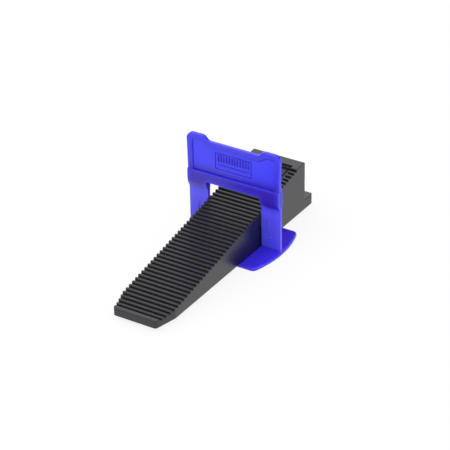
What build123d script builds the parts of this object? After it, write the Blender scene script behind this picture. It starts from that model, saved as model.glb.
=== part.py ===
from build123d import *
import math
import os

# Tile levelling clip with its wedge, two injection mouldings.
# The clip stands on its base plate, which goes under the tile edges. Its two thin legs pass through the joint between
# the tiles, and the thick lintel above them takes the load of the wedge that is pushed through the window.
# The wedge lies on the base plate with its toothed slope under the lintel, nose to the front.
# Frame: X across the clip, +Y towards the wedge's thick end, +Z up, origin under the middle of the base plate.

# Base plate
PLATE_LENGTH = 27.6
PLATE_THICKNESS = 1.2
PLATE_SIDE_MARGIN = 0.28
PLATE_BOW = 2.4
PLATE_CORNER_RADIUS = 1.9
PLATE_TOP_ROUNDING = 0.4
PLATE_BOTTOM_CHAMFER = 0.15

# Legs, with a scored line across each face where they snap off above the laid tiles
LEG_WIDTH = 7.1
LEG_THICKNESS = 1.25
LEG_FOOT_ROUNDING = 0.25
SCORE_HEIGHT = 0.6
SCORE_DEPTH = 0.15
WINDOW_CORNER_RADIUS = 0.7

# Lintel, which swells out of the legs to both sides
LINTEL_HEIGHT = 3.4
LINTEL_FRONT_STEP = 1.3
LINTEL_REAR_STEP = 0.6
LINTEL_TAPER = 4.9
LINTEL_EDGE_ROUNDING = 0.2

# Head plate above the lintel, with an ear at each top corner and a raised border round its front panel
HEAD_HEIGHT = 13.2
HEAD_THICKNESS = 1.6
HEAD_FRONT_STEP = 1.0
HEAD_WIDENING = 0.33
HEAD_REAR_TAPER = 4.2
HEAD_EDGE_ROUNDING = 0.38
HEAD_REAR_CHAMFER = 0.2
PANEL_RECESS = 0.45
BORDER_WIDTH = 2.2
EAR_WIDTH = 7.3
EAR_HEIGHT = 1.75
EAR_OUTER_RADIUS = 2.2
EAR_INNER_RADIUS = 1.9

# Plain rectangular field, outlined by a fine groove in the panel
FIELD_WIDTH = 13.8
FIELD_HEIGHT = 6.1
FIELD_RISE = 2.25
FIELD_LINE_WIDTH = 0.3
FIELD_LINE_DEPTH = 0.2

# Wedge body, whose platform at the thick end rises a little towards the rear
WEDGE_WIDTH = 19.6
WEDGE_HEIGHT = 17.85
NOSE_HEIGHT = 2.65
NOSE_LAND = 1.65
NOSE_CHAMFER_LENGTH = 8.2
NOSE_CHAMFER_DEPTH = 1.9
NOSE_CORNER_RADIUS = 1.0
PLATFORM_LENGTH = 5.4
PLATFORM_RISE = 0.3
FOOT_LENGTH = 5.6
FOOT_HEIGHT = 3.5
FOOT_CORNER_RADIUS = 1.2
WEDGE_EDGE_ROUNDING = 0.3

# Teeth of the slope: a riser that faces the nose, a rounded crest, a level land and a steep flank down to the root
TOOTH_COUNT = 45
TOOTH_PITCH = 1.764
TOOTH_RISE = 0.3267
TOOTH_LAND = 0.75
TOOTH_DEPTH = 1.0
CREST_RADIUS = 0.28

# Pocket in the thick end of the slope, which leaves two toothed rails, and the low pad on its floor
RAIL_WIDTH = 2.3
POCKET_TEETH = 8
POCKET_DEPTH = 1.5
POCKET_PLATFORM_CUT = 1.05
POCKET_STEP_DEPTH = 0.8
POCKET_STEP_LENGTH = 0.5
POCKET_CORNER_RADIUS = 0.4
PAD_HEIGHT = 0.3
PAD_SIDE_GAP = 1.6
PAD_END_GAP = 0.5

# Underside of the wedge, hollowed between its walls, a middle rib and cross ribs
CORE_WALL = 2.0
CORE_ROOF = 1.7
CORE_RIB = 1.6
CORE_CELLS = 4
CORE_LOWEST = 2.0
CORE_CORNER_RADIUS = 0.8

# Fits between the two mouldings, and where the wedge lies in the clip
SIDE_CLEARANCE = 0.4
SEAT_CLEARANCE = 0.05
LINTEL_CLEARANCE = 1.05
NOSE_REACH = 59.5

# Sizes of the clip that follow from the driving ones
window_width = WEDGE_WIDTH + 2 * SIDE_CLEARANCE
clip_width = window_width + 2 * LEG_WIDTH
window_top = PLATE_THICKNESS + SEAT_CLEARANCE + WEDGE_HEIGHT + LINTEL_CLEARANCE
ledge_height = window_top + LINTEL_HEIGHT
head_top = ledge_height + HEAD_HEIGHT
leg_front = -LEG_THICKNESS / 2
leg_rear = LEG_THICKNESS / 2
lintel_front = leg_front - LINTEL_FRONT_STEP
lintel_rear = leg_rear + LINTEL_REAR_STEP
border_front = leg_front - HEAD_FRONT_STEP
panel_front = border_front + PANEL_RECESS
head_rear = border_front + HEAD_THICKNESS

# Sizes of the wedge that follow from the driving ones, with lengths measured from its nose
first_riser = NOSE_LAND + TOOTH_PITCH - TOOTH_LAND
last_riser = first_riser + TOOTH_COUNT * TOOTH_PITCH
body_length = last_riser + PLATFORM_LENGTH
wedge_length = body_length + FOOT_LENGTH
slope = TOOTH_RISE / TOOTH_PITCH


def level_edges(part, axis, place):
    """The part's edges that lie wholly in the plane across the axis at that place."""
    margin = 0.001
    low = lambda edge: getattr(edge.bounding_box().min, axis)
    high = lambda edge: getattr(edge.bounding_box().max, axis)
    return part.edges().filter_by(lambda e: abs(low(e) - place) < margin and abs(high(e) - place) < margin)


def edges_above(edges, height):
    """Those of the edges whose middle is above that height."""
    margin = 0.001
    return edges.filter_by(lambda edge: edge.center().Z > height + margin)


def base_plate():
    """Thin plate with straight ends, bowed sides and rounded corners."""
    middle = clip_width / 2 + PLATE_SIDE_MARGIN
    corner = middle - PLATE_BOW
    end = PLATE_LENGTH / 2
    right = ThreePointArc((corner, -end), (middle, 0), (corner, end))
    left = ThreePointArc((-corner, end), (-middle, 0), (-corner, -end))
    outline = make_face([right, Line(right @ 1, left @ 0), left, Line(left @ 1, right @ 0)])
    outline = fillet(outline.vertices(), PLATE_CORNER_RADIUS)
    plate = extrude(outline, PLATE_THICKNESS)
    plate = fillet(level_edges(plate, "Z", PLATE_THICKNESS), PLATE_TOP_ROUNDING)
    return chamfer(level_edges(plate, "Z", 0), PLATE_BOTTOM_CHAMFER)


def s_curve(start, end, direction):
    """Two equal arcs that lead from start to end and leave both of them in that direction."""
    middle = ((start[0] + end[0]) / 2, (start[1] + end[1]) / 2)
    first = TangentArc(start, middle, tangent=direction)
    return [first, TangentArc(middle, end, tangent=first % 1)]


def clip_section():
    """Side section of the clip: thin leg, swelling lintel, ledge and head. Y is across the page and Z up it."""
    leg_top = window_top - LINTEL_TAPER
    head_start = ledge_height + HEAD_REAR_TAPER
    fullest = window_top + LINTEL_HEIGHT / 3
    buried = PLATE_THICKNESS / 2
    up = (0, 1)
    down = (0, -1)
    front_foot = JernArc((leg_front - LEG_FOOT_ROUNDING, PLATE_THICKNESS), (1, 0), LEG_FOOT_ROUNDING, 90)
    rear_foot = JernArc((leg_rear + LEG_FOOT_ROUNDING, PLATE_THICKNESS), (-1, 0), LEG_FOOT_ROUNDING, -90)
    front_corner = (leg_front - LEG_FOOT_ROUNDING, buried)
    rear_corner = (leg_rear + LEG_FOOT_ROUNDING, buried)
    return make_face(
        [
            Line(front_corner, front_foot @ 0),
            front_foot,
            Line(front_foot @ 1, (leg_front, leg_top)),
            *s_curve((leg_front, leg_top), (lintel_front, window_top), up),
            Line((lintel_front, window_top), (lintel_front, ledge_height)),
            Line((lintel_front, ledge_height), (panel_front, ledge_height)),
            Line((panel_front, ledge_height), (panel_front, head_top)),
            Line((panel_front, head_top), (head_rear, head_top)),
            Line((head_rear, head_top), (head_rear, head_start)),
            *s_curve((head_rear, head_start), (lintel_rear, fullest), down),
            *s_curve((lintel_rear, fullest), (leg_rear, leg_top), down),
            Line((leg_rear, leg_top), rear_foot @ 1),
            rear_foot,
            Line(rear_foot @ 0, rear_corner),
            Line(rear_corner, front_corner),
        ]
    )


def front_outline():
    """Front outline of the clip, with an ear at each top corner. X is across the page and Z up it."""
    foot = clip_width / 2
    shoulder = foot + HEAD_WIDENING
    ear = shoulder - EAR_WIDTH
    slant = EAR_HEIGHT / 2
    dip_height = head_top - EAR_HEIGHT
    right = [
        (ear - slant, dip_height),
        (ear + slant, head_top),
        (shoulder, head_top),
        (foot, ledge_height),
        (foot, 0),
    ]
    left = [(-x, z) for x, z in reversed(right)]
    outline = make_face(Polyline(*left, *right, close=True))
    corners = outline.vertices().filter_by(lambda v: v.Y > ledge_height + slant and abs(v.X) > ear + 2 * slant)
    outline = fillet(corners, EAR_OUTER_RADIUS)
    bends = outline.vertices().filter_by(lambda v: v.Y > ledge_height + slant and abs(v.X) < ear + 1.5 * slant)
    return fillet(bends, EAR_INNER_RADIUS)


def head_border(outline):
    """Raised border along the head's two sides and top, standing on the ledge."""
    panel = offset(outline, -BORDER_WIDTH, kind=Kind.INTERSECTION)
    below = Pos(0, ledge_height / 2) * Rectangle(2 * clip_width, ledge_height)
    band = Plane.XZ * (outline - panel - below)
    return Pos(0, (border_front + panel_front) / 2, 0) * extrude(band, PANEL_RECESS / 2, both=True)


def window():
    """Cutter for the opening between the legs, from the plate's top to the lintel."""
    height = window_top - PLATE_THICKNESS
    outline = Pos(0, PLATE_THICKNESS + height / 2) * Rectangle(window_width, height)
    outline = fillet(outline.vertices().sort_by(Axis.Y)[-2:], WINDOW_CORNER_RADIUS)
    return extrude(Plane.XZ * outline, clip_width, both=True)


def score_lines():
    """Cutters for the fine V grooves across the front and the rear of the legs."""
    side = SCORE_DEPTH * math.sqrt(2)
    height = PLATE_THICKNESS + SCORE_HEIGHT
    bar = Rot(45, 0, 0) * Box(clip_width, side, side)
    return [Pos(0, leg_front, height) * bar, Pos(0, leg_rear, height) * bar]


def field_line():
    """Cutter for the fine groove round the plain field on the panel."""
    outer = Rectangle(FIELD_WIDTH, FIELD_HEIGHT)
    inner = Rectangle(FIELD_WIDTH - 2 * FIELD_LINE_WIDTH, FIELD_HEIGHT - 2 * FIELD_LINE_WIDTH)
    frame = Plane.XZ * (Pos(0, ledge_height + FIELD_RISE + FIELD_HEIGHT / 2) * (outer - inner))
    return Pos(0, panel_front, 0) * extrude(frame, FIELD_LINE_DEPTH, both=True)


def build_clip():
    """The one-piece clip: base plate, legs, lintel and head."""
    outline = front_outline()
    upright = extrude(Plane.YZ * clip_section(), clip_width, both=True)
    upright &= extrude(Plane.XZ * outline, clip_width, both=True)
    upright += head_border(outline)
    front_edges = edges_above(level_edges(upright, "Y", border_front), ledge_height)
    upright = fillet(front_edges, HEAD_EDGE_ROUNDING)
    rear_edges = edges_above(level_edges(upright, "Y", head_rear), ledge_height + HEAD_REAR_TAPER)
    upright = chamfer(rear_edges, HEAD_REAR_CHAMFER)
    lintel_edges = level_edges(upright, "Y", lintel_front) & level_edges(upright, "Z", ledge_height)
    upright = fillet(lintel_edges, LINTEL_EDGE_ROUNDING)
    upright = upright - window() - score_lines() - field_line()
    return base_plate() + upright


def crest_height(place):
    """Height of the line along the teeth's crests, at that distance from the nose."""
    return NOSE_HEIGHT + (place - first_riser) * slope


def corners_at(outline, places):
    """The outline's corners that lie at those places."""
    margin = 0.001
    return outline.vertices().filter_by(lambda v: any(math.dist((v.X, v.Y), place) < margin for place in places))


def wedge_section():
    """Side section of the wedge, nose at the origin. Y is across the page and Z up it."""
    crests = [first_riser + tooth * TOOTH_PITCH for tooth in range(TOOTH_COUNT)]
    crests = [(place, crest_height(place)) for place in crests]
    teeth = []
    for place, crest in crests:
        teeth += [(place, crest - TOOTH_DEPTH), (place, crest), (place + TOOTH_LAND, crest)]
    nose_top = (0, NOSE_HEIGHT)
    platform_front = (last_riser, WEDGE_HEIGHT - PLATFORM_RISE)
    platform_rear = (body_length, WEDGE_HEIGHT)
    foot_rear = (wedge_length, FOOT_HEIGHT)
    outline = make_face(
        Polyline(
            (0, 0),
            nose_top,
            (NOSE_LAND, NOSE_HEIGHT),
            *teeth,
            (last_riser, crest_height(last_riser) - TOOTH_DEPTH),
            platform_front,
            platform_rear,
            (body_length, FOOT_HEIGHT),
            foot_rear,
            (wedge_length, 0),
            close=True,
        )
    )
    outline = fillet(corners_at(outline, crests), CREST_RADIUS)
    return fillet(corners_at(outline, [nose_top, platform_front, platform_rear, foot_rear]), WEDGE_EDGE_ROUNDING)


def wedge_plan():
    """Plan outline of the wedge, with a long chamfer at each side of the nose. X is across the page, Y up it."""
    side = WEDGE_WIDTH / 2
    right = [
        (side - NOSE_CHAMFER_DEPTH, 0),
        (side, NOSE_CHAMFER_LENGTH),
        (side, wedge_length),
    ]
    left = [(-x, y) for x, y in reversed(right)]
    plan = make_face(Polyline(*left, *right, close=True))
    plan = fillet(plan.vertices().sort_by(Axis.Y)[:2], NOSE_CORNER_RADIUS)
    return fillet(plan.vertices().sort_by(Axis.Y)[-2:], FOOT_CORNER_RADIUS)


def slope_block(front, rear, lowest, highest, width):
    """A block along the slope between two depths under the line of the crests."""
    corners = [(front, lowest), (rear, lowest), (rear, highest), (front, highest)]
    section = make_face(Polyline(*[(place, crest_height(place) - depth) for place, depth in corners], close=True))
    return extrude(Plane.YZ * section, width / 2, both=True)


def pocket():
    """Cutter for the pocket in the slope, stepped at its rear, with the low pad left on its floor."""
    front = last_riser - POCKET_TEETH * TOOTH_PITCH
    rear = last_riser + POCKET_PLATFORM_CUT
    width = WEDGE_WIDTH - 2 * RAIL_WIDTH
    floor = slope_block(front, rear, POCKET_DEPTH, -POCKET_DEPTH, width)
    floor = fillet(floor.edges().filter_by(Axis.Z), POCKET_CORNER_RADIUS)
    step = slope_block(front, rear + POCKET_STEP_LENGTH, POCKET_STEP_DEPTH, -POCKET_DEPTH, width)
    step = fillet(step.edges().filter_by(Axis.Z), POCKET_CORNER_RADIUS)
    pad_top = POCKET_DEPTH - PAD_HEIGHT
    pad_foot = POCKET_DEPTH + PAD_HEIGHT
    pad = slope_block(front + PAD_END_GAP, rear - PAD_END_GAP, pad_foot, pad_top, width - 2 * PAD_SIDE_GAP)
    return floor + step - pad


def cores():
    """Cutters for the cells in the underside, two side by side, with their roof parallel to the slope."""
    roof = POCKET_DEPTH + CORE_ROOF
    front = first_riser + (CORE_LOWEST + roof - NOSE_HEIGHT) / slope
    rear = body_length - CORE_WALL
    step = (rear - front + CORE_RIB) / CORE_CELLS
    width = (WEDGE_WIDTH - 2 * CORE_WALL - CORE_RIB) / 2
    aside = (width + CORE_RIB) / 2
    cells = []
    for index in range(CORE_CELLS):
        start = front + index * step
        end = start + step - CORE_RIB
        roof_line = [(start, crest_height(start) - roof), (end, crest_height(end) - roof)]
        section = make_face(Polyline(*roof_line, (end, 0), (start, 0), close=True))
        cell = extrude(Plane.YZ * section, width / 2, both=True)
        cell = fillet(cell.edges().filter_by(Axis.Z), CORE_CORNER_RADIUS)
        cells += [Pos(aside, 0, 0) * cell, Pos(-aside, 0, 0) * cell]
    return cells


def build_wedge():
    """The one-piece wedge, in its place in the clip."""
    wedge = extrude(Plane.YZ * wedge_section(), WEDGE_WIDTH / 2, both=True)
    wedge &= extrude(wedge_plan(), WEDGE_HEIGHT)
    wedge = wedge - pocket() - cores()
    return Pos(0, -NOSE_REACH, PLATE_THICKNESS + SEAT_CLEARANCE) * wedge


os.makedirs("parts", exist_ok=True)
export_step(build_clip(), "parts/clip.step")
export_step(build_wedge(), "parts/wedge.step")
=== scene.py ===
import math

import bpy
from mathutils import Matrix, Vector


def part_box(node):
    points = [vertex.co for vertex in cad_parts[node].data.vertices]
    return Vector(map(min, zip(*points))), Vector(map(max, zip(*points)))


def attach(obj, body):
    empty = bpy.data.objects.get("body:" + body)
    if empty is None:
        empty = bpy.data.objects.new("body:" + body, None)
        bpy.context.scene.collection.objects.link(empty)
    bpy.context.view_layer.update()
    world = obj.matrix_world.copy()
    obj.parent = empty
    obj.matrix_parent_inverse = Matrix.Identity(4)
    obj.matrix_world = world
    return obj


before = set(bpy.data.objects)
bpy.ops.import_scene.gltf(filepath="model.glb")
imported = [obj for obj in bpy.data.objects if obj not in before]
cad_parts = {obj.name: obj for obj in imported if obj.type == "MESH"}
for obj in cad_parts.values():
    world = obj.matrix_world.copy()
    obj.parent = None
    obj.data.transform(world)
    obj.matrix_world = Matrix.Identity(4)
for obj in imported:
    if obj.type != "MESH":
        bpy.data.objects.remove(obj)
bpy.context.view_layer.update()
clip_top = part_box("clip")[1][2]

# Camera, fitted to the wedge's straight edges: degrees, metres, and the lens and its sensor in millimetres
AZIMUTH = 32.421
ELEVATION = 30.178
ROLL = -0.831
DISTANCE = 0.690633
TARGET = Vector((0.000426, -0.007306, 0.009865))
LENS = 170.53
SENSOR = 36.0
DEPTH_RANGE = 100.0

# Front faces of the clip, as places along Y in metres: the legs, the head's raised border and its panel
LEG_FACE = -0.000625
BORDER_FACE = -0.001625
PANEL_FACE = -0.001175

# Rows of plain raised bars in the panel's field, in metres, each row placed by its drop from the clip's top
FIELD_RISE = 0.00036
BAR_COUNT = 12
BAR_PITCH = 0.00104
BAR_SIZE = (0.00056, 0.0027)
BARS_DROP = 0.0067
NOTCH_COUNT = 15
NOTCH_PITCH = 0.00082
NOTCH_SIZE = (0.00036, 0.0007)
NOTCHES_DROP = 0.0091

# Plain raised ticks on the legs, in metres: a row from its first place, and single ones with their lengths
TICK_RISE = 0.0002
TICK_WIDTH = 0.00034
ROW_TICKS = 5
ROW_PITCH = 0.00096
ROW_LENGTH = 0.0013
ROW_PLACE = (0.0118, 0.0058)
LONG_TICKS = [((0.0132, 0.01035), 0.0029), ((-0.0139, 0.0100), 0.0032)]

# Shape of every raised bar: how far its sides lean in and how round its edges are, as shares of its rise
BAR_LEAN = 1 / 2
BAR_ROUNDING = 1 / 3
BAR_SEGMENTS = 2

# Colours, linear: the wedge's black and the tint of its gloss
WEDGE_BLACK = (0.0046, 0.0045, 0.0054)
BLACK_GLOSS = (0.95, 0.93, 1.0)

# The clip's blues: plate, legs and head with painted light and shade, the bars in its field with painted
# shade, and the painted shade of thick plastic and inner corners
SHADED_PLATE_BLUE = (0.058, 0.026, 0.92)
LIT_LEG_BLUE = (0.108, 0.094, 1.0)
HEAD_BLUE = (0.050, 0.052, 1.0)
RELIEF_SHADE_BLUE = (0.030, 0.024, 0.68)
THICK_SHADE_BLUE = (0.036, 0.012, 0.48)
CORNER_SHADE_BLUE = (0.008, 0.002, 0.62)

# Painted light and shade of the clip by height, the plate darker and the legs lighter than the head, each
# with the height in metres where it is full, and the one tone of the bars, painted darker as shade
CLIP_LIGHT_AND_SHADE = [(0.0011, SHADED_PLATE_BLUE), (0.0022, LIT_LEG_BLUE), (0.0145, LIT_LEG_BLUE), (0.0200, HEAD_BLUE)]
RELIEF_SHADE_TONES = [(0.0, RELIEF_SHADE_BLUE), (clip_top, RELIEF_SHADE_BLUE)]

# Painted light and shade by thickness: how far light reaches into the blue plastic, and the shares of open
# depth that count as thin, painted lighter, and as thick, painted darker
LIGHT_REACH = 0.0019
THIN_SHARE = 0.38
THICK_SHARE = 0.95

# The raised border's share of the thick blue's painted shade, and the height above which the border stands
BORDER_SHADE_SHARE = 0.36
BORDER_START = 0.0240

# How far an inner corner reaches, and the shares of open view where the painted shade of its blue starts and
# is full
CORNER_REACH = 0.0012
CORNER_OPEN = 0.75
CORNER_SHUT = 0.50

# Light that comes through the blue plastic: its share, and its red, green and blue reach in a unit of metres
GLOW_SHARE = 0.3
GLOW_REACH = (0.5, 0.5, 1.0)
GLOW_UNIT = 0.001

# Finishes of the plastics: clouds and grains per metre, the lowest and highest tone and roughness,
# the refraction, and in metres the depth of the grain and the radius of the soft edges
BLACK_FINISH = {
    "clouds": 140.0,
    "grains": 5200.0,
    "tone": (0.85, 1.2),
    "roughness": (0.30, 0.36),
    "refraction": 1.64,
    "grain depth": 0.000004,
    "edge radius": 0.00045,
}
BLUE_FINISH = {
    "clouds": 90.0,
    "grains": 4200.0,
    "tone": (0.95, 1.0),
    "roughness": (0.29, 0.35),
    "refraction": 1.5,
    "grain depth": 0.000002,
    "edge radius": 0.00015,
}

# Detail of the clouds and grains, the part of their range that is used, and the samples of the traced nodes
CLOUD_DETAIL = 3.0
GRAIN_DETAIL = 1.0
NOISE_LOW = 0.25
NOISE_HIGH = 0.75
DEPTH_SAMPLES = 8
EDGE_SAMPLES = 6

# Studio, in metres and watts: light from all round, the floor and its share of shadow, a lamp and a dark card
PAPER_WHITE = (1.0, 1.0, 1.0)
CARD_GREY = (0.02, 0.02, 0.02)
WORLD_STRENGTH = 1.15
FLOOR_SIZE = 6.0
FLOOR_SHADOW = 0.15
LAMP_PLACE = (-0.436, 0.806, 0.490)
LAMP_SIZE = 0.25
LAMP_POWER = 0.16
CARD_PLACE = (0.50, 0.73, 0.46)
CARD_SIZE = 0.75


def opaque(colour):
    """The colour as a shader socket takes it."""
    return (*colour, 1.0)


def new_material(name):
    """A new node material, its tree and its Principled shader."""
    material = bpy.data.materials.new(name)
    material.use_nodes = True
    tree = material.node_tree
    return material, tree, tree.nodes["Principled BSDF"]


def add_node(tree, kind, inputs, **settings):
    """A new node with those settings, whose inputs are linked to outputs or set to values."""
    node = tree.nodes.new(kind)
    for key, value in settings.items():
        setattr(node, key, value)
    for key, value in inputs.items():
        if isinstance(value, bpy.types.NodeSocket):
            tree.links.new(value, node.inputs[key])
        else:
            node.inputs[key].default_value = value
    return node


def object_place(tree):
    """The point's place on the object."""
    return add_node(tree, "ShaderNodeTexCoord", {}).outputs["Object"]


def compute(tree, operation, first, second):
    """The result of one operation on two values."""
    return add_node(tree, "ShaderNodeMath", {0: first, 1: second}, operation=operation).outputs["Value"]


def noise(tree, scale, detail):
    """Noise on the object, with its scale per metre."""
    inputs = {"Vector": object_place(tree), "Scale": scale, "Detail": detail}
    return add_node(tree, "ShaderNodeTexNoise", inputs).outputs["Fac"]


def share_between(tree, value, start, full):
    """How far the value is from start to full, from 0 to 1."""
    inputs = {"Value": value, "From Min": start, "From Max": full}
    return add_node(tree, "ShaderNodeMapRange", inputs).outputs["Result"]


def spread(tree, value, low, high):
    """Maps the used part of a noise to the range from low to high."""
    inputs = {"Value": value, "From Min": NOISE_LOW, "From Max": NOISE_HIGH, "To Min": low, "To Max": high}
    return add_node(tree, "ShaderNodeMapRange", inputs).outputs["Result"]


def blend(tree, share, first, second):
    """The first colour, blended into the second fixed colour by a varying share."""
    inputs = {"Fac": share, "Color1": first, "Color2": opaque(second)}
    return add_node(tree, "ShaderNodeMixRGB", inputs).outputs["Color"]


def plain_colour(tree, colour):
    """A colour as a node, to be varied further on."""
    node = add_node(tree, "ShaderNodeRGB", {})
    node.outputs["Color"].default_value = opaque(colour)
    return node.outputs["Color"]


def by_height(tree, tones):
    """Colours from the floor up to the clip's top, each given with the height where it is full."""
    place = add_node(tree, "ShaderNodeSeparateXYZ", {"Vector": object_place(tree)})
    share = compute(tree, "DIVIDE", place.outputs["Z"], clip_top)
    ramp = add_node(tree, "ShaderNodeValToRGB", {"Fac": share})
    stops = ramp.color_ramp.elements
    for index, (height, colour) in enumerate(tones):
        stop = stops[index] if index < len(stops) else stops.new(height / clip_top)
        stop.position = height / clip_top
        stop.color = opaque(colour)
    return ramp.outputs["Color"]


def border_painted_shade(tree):
    """The share of the thick blue's painted shade on the head's raised border, which stands in front of its
    panel.
    """
    place = add_node(tree, "ShaderNodeSeparateXYZ", {"Vector": object_place(tree)})
    front = compute(tree, "LESS_THAN", place.outputs["Y"], (BORDER_FACE + PANEL_FACE) / 2)
    head = compute(tree, "GREATER_THAN", place.outputs["Z"], BORDER_START)
    both = compute(tree, "MULTIPLY", front, head)
    return compute(tree, "MULTIPLY", both, BORDER_SHADE_SHARE)


def painted_light_by_thickness(tree, thin_lit_blue, thick_shade_blue):
    """Painted light and shade: the thin blue, painted lighter where light comes through the plastic, and the
    thick one, painted darker where it doesn't.
    """
    settings = {"inside": True, "only_local": True, "samples": DEPTH_SAMPLES}
    depth = add_node(tree, "ShaderNodeAmbientOcclusion", {"Distance": LIGHT_REACH}, **settings)
    share = share_between(tree, depth.outputs["AO"], THIN_SHARE, THICK_SHARE)
    share = compute(tree, "MAXIMUM", share, border_painted_shade(tree))
    return blend(tree, share, thin_lit_blue, thick_shade_blue)


def painted_corner_shade(tree, open_blue, corner_shade_blue):
    """Painted shade: the open blue, which deepens in inner corners, where little light comes in."""
    settings = {"only_local": True, "samples": DEPTH_SAMPLES}
    view = add_node(tree, "ShaderNodeAmbientOcclusion", {"Distance": CORNER_REACH}, **settings)
    share = share_between(tree, view.outputs["AO"], CORNER_OPEN, CORNER_SHUT)
    return blend(tree, share, open_blue, corner_shade_blue)


def mould(tree, shader, colour, finish):
    """Gives a plastic its colour and gloss, both a little cloudy, with soft edges and a fine grain."""
    clouds = noise(tree, finish["clouds"], CLOUD_DETAIL)
    grains = noise(tree, finish["grains"], GRAIN_DETAIL)
    tone = spread(tree, clouds, *finish["tone"])
    roughness = spread(tree, clouds, *finish["roughness"])
    cloudy = add_node(tree, "ShaderNodeVectorMath", {0: colour, "Scale": tone}, operation="SCALE")
    edges = add_node(tree, "ShaderNodeBevel", {"Radius": finish["edge radius"]}, samples=EDGE_SAMPLES)
    bump = {"Height": grains, "Distance": finish["grain depth"], "Normal": edges.outputs["Normal"]}
    surface = add_node(tree, "ShaderNodeBump", bump)
    tree.links.new(cloudy.outputs["Vector"], shader.inputs["Base Color"])
    tree.links.new(roughness, shader.inputs["Roughness"])
    tree.links.new(surface.outputs["Normal"], shader.inputs["Normal"])
    shader.inputs["IOR"].default_value = finish["refraction"]


def black_plastic():
    """Semi-gloss black plastic of the wedge."""
    material, tree, shader = new_material("black_plastic")
    mould(tree, shader, plain_colour(tree, WEDGE_BLACK), BLACK_FINISH)
    shader.inputs["Specular Tint"].default_value = opaque(BLACK_GLOSS)
    return material


def blue_plastic(name, tones):
    """Satin blue plastic of the clip, a little translucent where it is thin, with painted light and shade by
    height, by thickness and in inner corners.
    """
    material, tree, shader = new_material(name)
    # Painted light and shade by height, then by the plastic's thickness
    blue = painted_light_by_thickness(tree, by_height(tree, tones), THICK_SHADE_BLUE)
    # Painted shade in inner corners
    blue = painted_corner_shade(tree, blue, CORNER_SHADE_BLUE)
    mould(tree, shader, blue, BLUE_FINISH)
    shader.inputs["Subsurface Weight"].default_value = GLOW_SHARE
    shader.inputs["Subsurface Radius"].default_value = GLOW_REACH
    shader.inputs["Subsurface Scale"].default_value = GLOW_UNIT
    return material


def dress(node_name, material):
    """Gives a CAD node its finish."""
    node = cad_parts[node_name]
    node.data.materials.clear()
    node.data.materials.append(material)


def add_object(name, data):
    """A new object in the scene."""
    thing = bpy.data.objects.new(name, data)
    bpy.context.collection.objects.link(thing)
    return thing


def raised_bar(name, middle, size, face, rise, material):
    """A low bar with sloping sides that stands out of a face of the clip towards the front."""
    corners = [(-1, -1), (1, -1), (1, 1), (-1, 1)]
    count = len(corners)
    foot = (size[0] / 2, size[1] / 2)
    top = (foot[0] - BAR_LEAN * rise, foot[1] - BAR_LEAN * rise)
    points = []
    for half, place in [(foot, face + rise), (foot, face), (top, face - rise)]:
        points += [(middle[0] + x * half[0], place, middle[1] + z * half[1]) for x, z in corners]
    faces = [tuple(range(2 * count, 3 * count)), tuple(reversed(range(count)))]
    for ring in (0, count):
        for side in range(count):
            turn = (side + 1) % count
            faces.append((ring + side, ring + turn, ring + count + turn, ring + count + side))
    mesh = bpy.data.meshes.new(name)
    mesh.from_pydata(points, [], faces)
    mesh.materials.append(material)
    bar = add_object(name, mesh)
    edges = bar.modifiers.new("edges", "BEVEL")
    edges.width = BAR_ROUNDING * rise
    edges.segments = BAR_SEGMENTS
    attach(bar, "clip")


def field_row(name, count, pitch, drop, size, material):
    """A row of like bars across the panel's field, that far below the clip's top."""
    for index in range(count):
        middle = ((index - (count - 1) / 2) * pitch, clip_top - drop)
        raised_bar(f"{name}_{index}", middle, size, PANEL_FACE, FIELD_RISE, material)


def leg_ticks(material):
    """Plain ticks on the legs: a short row and single upright ones."""
    for index in range(ROW_TICKS):
        middle = (ROW_PLACE[0] + index * ROW_PITCH, ROW_PLACE[1])
        raised_bar(f"row_tick_{index}", middle, (TICK_WIDTH, ROW_LENGTH), LEG_FACE, TICK_RISE, material)
    for index, (middle, length) in enumerate(LONG_TICKS):
        raised_bar(f"long_tick_{index}", middle, (TICK_WIDTH, length), LEG_FACE, TICK_RISE, material)


def matte(name, colour):
    """A new matte material, its tree and the output of its shader."""
    material, tree, shader = new_material(name)
    tree.nodes.remove(shader)
    surface = add_node(tree, "ShaderNodeBsdfDiffuse", {"Color": opaque(colour)})
    return material, tree, surface.outputs["BSDF"]


def staged_square(name, size, material):
    """A flat square of the studio, which isn't part of the object."""
    half = size / 2
    mesh = bpy.data.meshes.new(name)
    corners = [(-half, -half, 0), (half, -half, 0), (half, half, 0), (-half, half, 0)]
    mesh.from_pydata(corners, [], [(0, 1, 2, 3)])
    mesh.materials.append(material)
    square = add_object(name, mesh)
    return square


def face_target(thing, place):
    """Puts a lamp or a card at the place and points it at the middle of the object."""
    thing.location = place
    thing.rotation_mode = "QUATERNION"
    thing.rotation_quaternion = (TARGET - Vector(place)).to_track_quat("-Z", "Y")


def white_to_the_camera(tree, surface, share):
    """Mixes plain white into what the camera sees, by that share, and shows it whole in reflections."""
    rays = add_node(tree, "ShaderNodeLightPath", {}).outputs
    part = compute(tree, "MULTIPLY", rays["Is Camera Ray"], share)
    part = compute(tree, "MAXIMUM", part, rays["Is Glossy Ray"])
    part = compute(tree, "MAXIMUM", part, rays["Is Transmission Ray"])
    white = add_node(tree, "ShaderNodeEmission", {"Color": opaque(PAPER_WHITE)})
    mix = add_node(tree, "ShaderNodeMixShader", {"Fac": part, 1: surface, 2: white.outputs["Emission"]})
    return mix.outputs["Shader"]


def white_floor():
    """White floor that keeps a soft share of the object's shadow."""
    material, tree, surface = matte("paper", PAPER_WHITE)
    seen = white_to_the_camera(tree, surface, 1 - FLOOR_SHADOW)
    tree.links.new(seen, tree.nodes["Material Output"].inputs["Surface"])
    staged_square("floor", FLOOR_SIZE, material)


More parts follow.
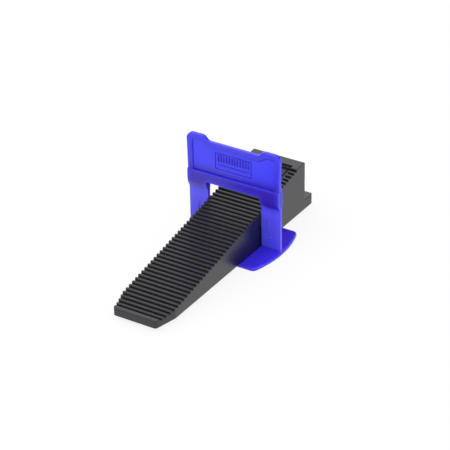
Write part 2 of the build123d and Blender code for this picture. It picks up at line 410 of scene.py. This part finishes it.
def white_world():
    """Even white light from all round, and a white backdrop."""
    world = bpy.data.worlds.new("studio")
    world.use_nodes = True
    bpy.context.scene.world = world
    tree = world.node_tree
    light = tree.nodes["Background"]
    light.inputs["Color"].default_value = opaque(PAPER_WHITE)
    light.inputs["Strength"].default_value = WORLD_STRENGTH
    seen = white_to_the_camera(tree, light.outputs["Background"], 1.0)
    tree.links.new(seen, tree.nodes["World Output"].inputs["Surface"])


def soft_lamp():
    """A square lamp behind the object, which the wedge's level faces mirror."""
    lamp = bpy.data.lights.new("back", "AREA")
    lamp.shape = "SQUARE"
    lamp.size = LAMP_SIZE
    lamp.energy = LAMP_POWER
    face_target(add_object("back", lamp), LAMP_PLACE)


def dark_card():
    """A dark card out of the camera's sight, which rounded edges mirror as a darker line."""
    material, tree, surface = matte("card", CARD_GREY)
    tree.links.new(surface, tree.nodes["Material Output"].inputs["Surface"])
    card = staged_square("card", CARD_SIZE, material)
    card.visible_camera = False
    face_target(card, CARD_PLACE)


def photo_camera():
    """The camera at the photograph's angle."""
    azimuth = math.radians(AZIMUTH)
    elevation = math.radians(ELEVATION)
    roll = math.radians(ROLL)
    level = Vector((math.cos(azimuth), math.sin(azimuth), 0))
    away = Vector((math.sin(azimuth), -math.cos(azimuth), 0))
    back = math.cos(elevation) * away + math.sin(elevation) * Vector((0, 0, 1))
    upward = back.cross(level)
    right = math.cos(roll) * level + math.sin(roll) * upward
    up = math.cos(roll) * upward - math.sin(roll) * level
    data = bpy.data.cameras.new("camera")
    data.lens = LENS
    data.sensor_width = SENSOR
    data.clip_start = DISTANCE / DEPTH_RANGE
    data.clip_end = DISTANCE * DEPTH_RANGE
    camera = add_object("camera", data)
    turn = Matrix((right, up, back)).transposed().to_4x4()
    camera.matrix_world = Matrix.Translation(TARGET + DISTANCE * back) @ turn
    bpy.context.scene.camera = camera


bpy.context.scene.view_settings.view_transform = "Standard"
blue = blue_plastic("blue_plastic", CLIP_LIGHT_AND_SHADE)
# The bars' blue, painted darker as the shade among the field's relief
relief = blue_plastic("blue_relief_painted_shade", RELIEF_SHADE_TONES)
dress("wedge", black_plastic())
dress("clip", blue)
field_row("field_bar", BAR_COUNT, BAR_PITCH, BARS_DROP, BAR_SIZE, relief)
field_row("field_notch", NOTCH_COUNT, NOTCH_PITCH, NOTCHES_DROP, NOTCH_SIZE, relief)
leg_ticks(blue)
white_floor()
white_world()
soft_lamp()
dark_card()
photo_camera()
